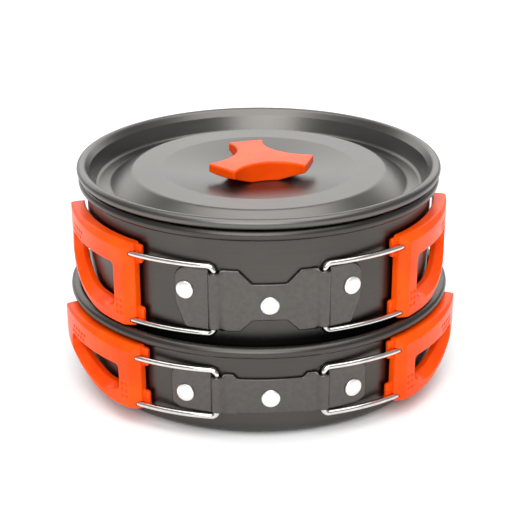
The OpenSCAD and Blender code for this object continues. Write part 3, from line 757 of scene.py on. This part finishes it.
def knob(step=0.3):
    """The three-armed knob: flat tips, hollow sides down to the foot, and arms that thin outwards."""
    low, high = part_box("lid_knob")
    z0, top = low.z / MM, high.z / MM
    tip_r, tip_w, waist_r, foot_r, foot_h, arm_t = 21.1, 15.5, 9.8, 13.5, 0.8, 3.2
    crown_h, tip_edge, side_edge, top_edge, under_edge = 0.5, 0.6, 1.3, 0.7, 0.35
    first = math.radians(-18)
    x, y, z = grid((low.x / MM, low.y / MM, z0), (high.x / MM, high.y / MM, top), step)
    corner_r, corner_a = math.hypot(tip_r, tip_w / 2), math.atan2(tip_w / 2, tip_r)
    chord_d = corner_r * math.cos(math.pi / 3 - corner_a)
    chord_half = corner_r * math.sin(math.pi / 3 - corner_a)
    sag = chord_d - waist_r
    side_r = (chord_half ** 2 + sag ** 2) / (2 * sag)
    plan = np.full(np.broadcast(x, y).shape, -99.0)
    for k in range(3):
        a = first + 2 * math.pi / 3 * k
        plan = meet(plan, x * math.cos(a) + y * math.sin(a) - tip_r, tip_edge)
    for k in range(3):
        a = first + 2 * math.pi / 3 * (k + 0.5)
        far = waist_r + side_r
        side = np.hypot(x - far * math.cos(a), y - far * math.sin(a))
        plan = meet(plan, side_r - side, side_edge)
    rho = np.hypot(x, y)
    crown = z - (top - crown_h * (rho / tip_r) ** 2)
    # The underside slopes up from the foot to just past the corners of the arms
    lift = (top - arm_t - z0 - foot_h) / (corner_r + 1 - foot_r)
    under = (z0 + foot_h + lift * (rho - foot_r) - z) / math.hypot(1, lift)
    under = np.maximum(under, z0 - z)
    field = meet(meet(plan, crown, top_edge), under, under_edge)
    verts, faces = surface_net(field, (x, y, z))
    return new_piece("lid_knob", verts, faces, ORANGE, "lid", "orange_plastic")


def mirrored(verts):
    return verts * [-1, 1, 1]


# ---------------------------------------------------------------- the object

for vessel in VESSELS:
    new_piece(vessel + "_shell", *vessel_shell(vessel), ANODISED, vessel, "anodised_aluminium")
    bracket(vessel)
    for which in ("left", "centre", "right"):
        rivet(vessel, which)
    wire = tube(wire_path(vessel), WIRE_R)
    handle = grip(vessel)
    for side, turned in (("right", lambda v: v), ("left", mirrored)):
        body = "%s_%s_handle" % (vessel, side)
        new_piece("%s_%s_wire" % (vessel, side), turned(wire[0]), wire[1], STEEL, body, "wire_steel")
        new_piece("%s_%s_grip" % (vessel, side), turned(handle[0]), handle[1], ORANGE, body,
                  "orange_plastic")

new_piece("lid_shell", *lathe(lid_profile()), LIT_LID_METAL, "lid", "anodised_aluminium")
knob()
for node, material in (("knob_insert", BRASS), ("knob_screw", SCREW), ("knob_washer", SCREW)):
    slots = NODES[node].data.materials
    for i in range(len(slots)):
        slots[i] = material


# ---------------------------------------------------------------- floor, light and camera

def floor():
    """A plain pale floor under the pan."""
    half = 4.0
    mesh = bpy.data.meshes.new("floor_mesh")
    corners = [(-half, -half, 0), (half, -half, 0), (half, half, 0), (-half, half, 0)]
    mesh.from_pydata(corners, [], [(0, 1, 2, 3)])
    s = Shader("floor_paper")
    tooth = s.noise(s.place, 400.0, 3.0, 0.6)
    s.set(Base_Color=s.mix(tooth, (0.92, 0.92, 0.92, 1), (0.95, 0.95, 0.95, 1)), Roughness=0.85)
    s.set(Specular_IOR_Level=0.1)
    mesh.materials.append(s.material)
    plane = bpy.data.objects.new("floor", mesh)
    plane.location.z = -0.2 * MM
    bpy.context.scene.collection.objects.link(plane)


def softbox(name, azimuth, elevation, distance, size, power, aim=(0, 0, 0.04)):
    """A rectangular soft light on a sphere round the object, turned towards it."""
    light = bpy.data.lights.new(name, "AREA")
    light.shape = "RECTANGLE"
    light.size, light.size_y = size
    light.energy = power
    lamp = bpy.data.objects.new(name, light)
    a, e = math.radians(azimuth), math.radians(elevation)
    way = np.array([math.sin(a) * math.cos(e), -math.cos(a) * math.cos(e), math.sin(e)])
    lamp.location = np.array(aim) + distance * way
    lamp.rotation_euler = Vector(way).to_track_quat("Z", "Y").to_euler()
    bpy.context.scene.collection.objects.link(lamp)


def world():
    sky = bpy.data.worlds.new("studio")
    sky.use_nodes = True
    back = sky.node_tree.nodes["Background"]
    back.inputs["Color"].default_value = (1, 1, 1, 1)
    back.inputs["Strength"].default_value = 0.38
    bpy.context.scene.world = sky


def camera():
    """The view from the front, a little to the left, and about 23 degrees down."""
    down, left = 22.78, 3.504
    lens = bpy.data.cameras.new("camera")
    lens.lens = 89.9
    lens.sensor_width = 36.0
    lens.clip_start = 0.01
    eye = bpy.data.objects.new("camera", lens)
    eye.location = (-0.0284, -0.5080, 0.2529)
    eye.rotation_euler = (math.radians(90 - down), 0.001, math.radians(-left))
    bpy.context.scene.collection.objects.link(eye)
    bpy.context.scene.camera = eye


floor()
world()
softbox("back", 183, 27, 1.6, (3.4, 0.9), 17)
softbox("top", 10, 80, 1.3, (1.6, 1.6), 20)
softbox("front", -8, 30, 1.5, (1.2, 0.8), 12)
camera()
bpy.context.scene.view_settings.view_transform = "Standard"
